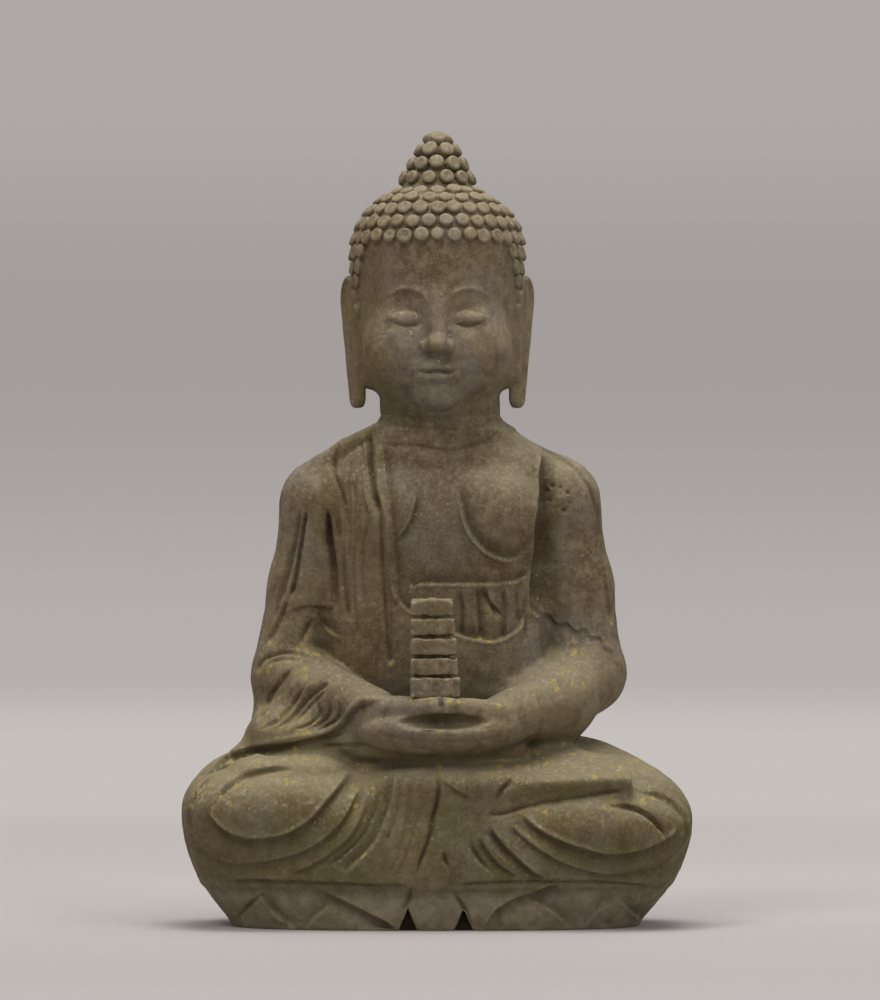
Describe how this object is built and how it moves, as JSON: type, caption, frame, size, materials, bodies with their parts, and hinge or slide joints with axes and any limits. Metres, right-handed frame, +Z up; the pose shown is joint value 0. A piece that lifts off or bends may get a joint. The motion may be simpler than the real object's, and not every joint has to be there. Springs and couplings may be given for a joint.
{
  "type": "seated buddha statue",
  "caption": "Carved stone Buddha seated with folded legs, holding a small tiered pagoda in the lap; stands on its flat underside as a garden or altar figure",
  "frame": {"origin": "middle of the footprint, on the floor", "axes": "+Z up; the figure faces -Y; +X is on the right of the front view"},
  "size_m": [0.5126, 0.2658, 0.8002],
  "materials": {
    "weathered_stone": "rough carved stone with lichen and algae"
  },
  "bodies": {
    "root": {"seated_buddha": "weathered_stone"}
  },
  "joints": []
}
